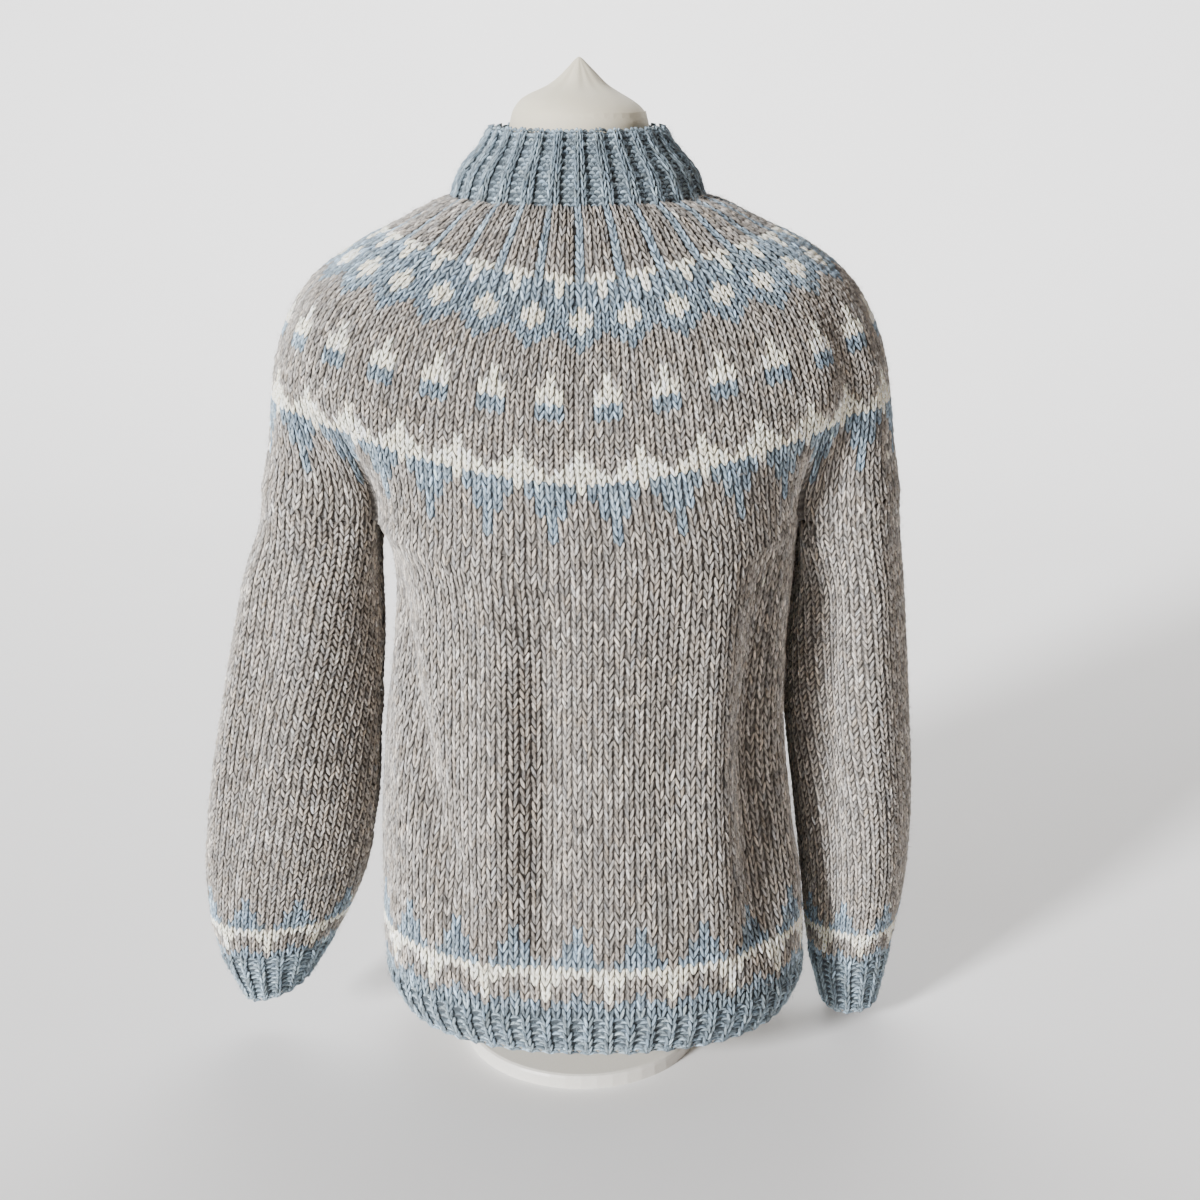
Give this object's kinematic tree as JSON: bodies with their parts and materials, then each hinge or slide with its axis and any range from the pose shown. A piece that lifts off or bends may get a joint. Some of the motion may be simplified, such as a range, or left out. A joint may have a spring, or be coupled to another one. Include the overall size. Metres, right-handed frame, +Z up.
{
  "type": "yoke sweater on a dress form",
  "caption": "Hand-knit pullover with a patterned circular yoke, stand-up ribbed neck, ribbed hem and cuffs, worn by a limbless dress form on a low round base.",
  "frame": {"origin": "centre of the base plate's underside, on the floor", "axes": "+Z up through the form's neck; -Y out of the side that the picture shows; +X to the right of someone looking at that side"},
  "size_m": [0.5942, 0.281, 0.8105],
  "materials": {
    "grey_brown_wool": "heathered grey-brown wool, fuzzy, with blue and cream pattern",
    "blue_wool": "heathered blue-grey wool, fuzzy, ribbed",
    "ivory_jersey": "smooth ivory cotton jersey stretched over the form",
    "off_white_paint": "satin off-white enamel"
  },
  "bodies": {
    "root": {"yoke": "grey_brown_wool", "body": "grey_brown_wool", "sleeve_left": "grey_brown_wool", "sleeve_right": "grey_brown_wool", "neck_rib": "blue_wool", "hem_rib": "blue_wool", "cuff_left": "blue_wool", "cuff_right": "blue_wool", "form_torso": "ivory_jersey", "form_cap": "ivory_jersey", "form_pole": "off_white_paint", "form_base": "off_white_paint"}
  },
  "joints": []
}
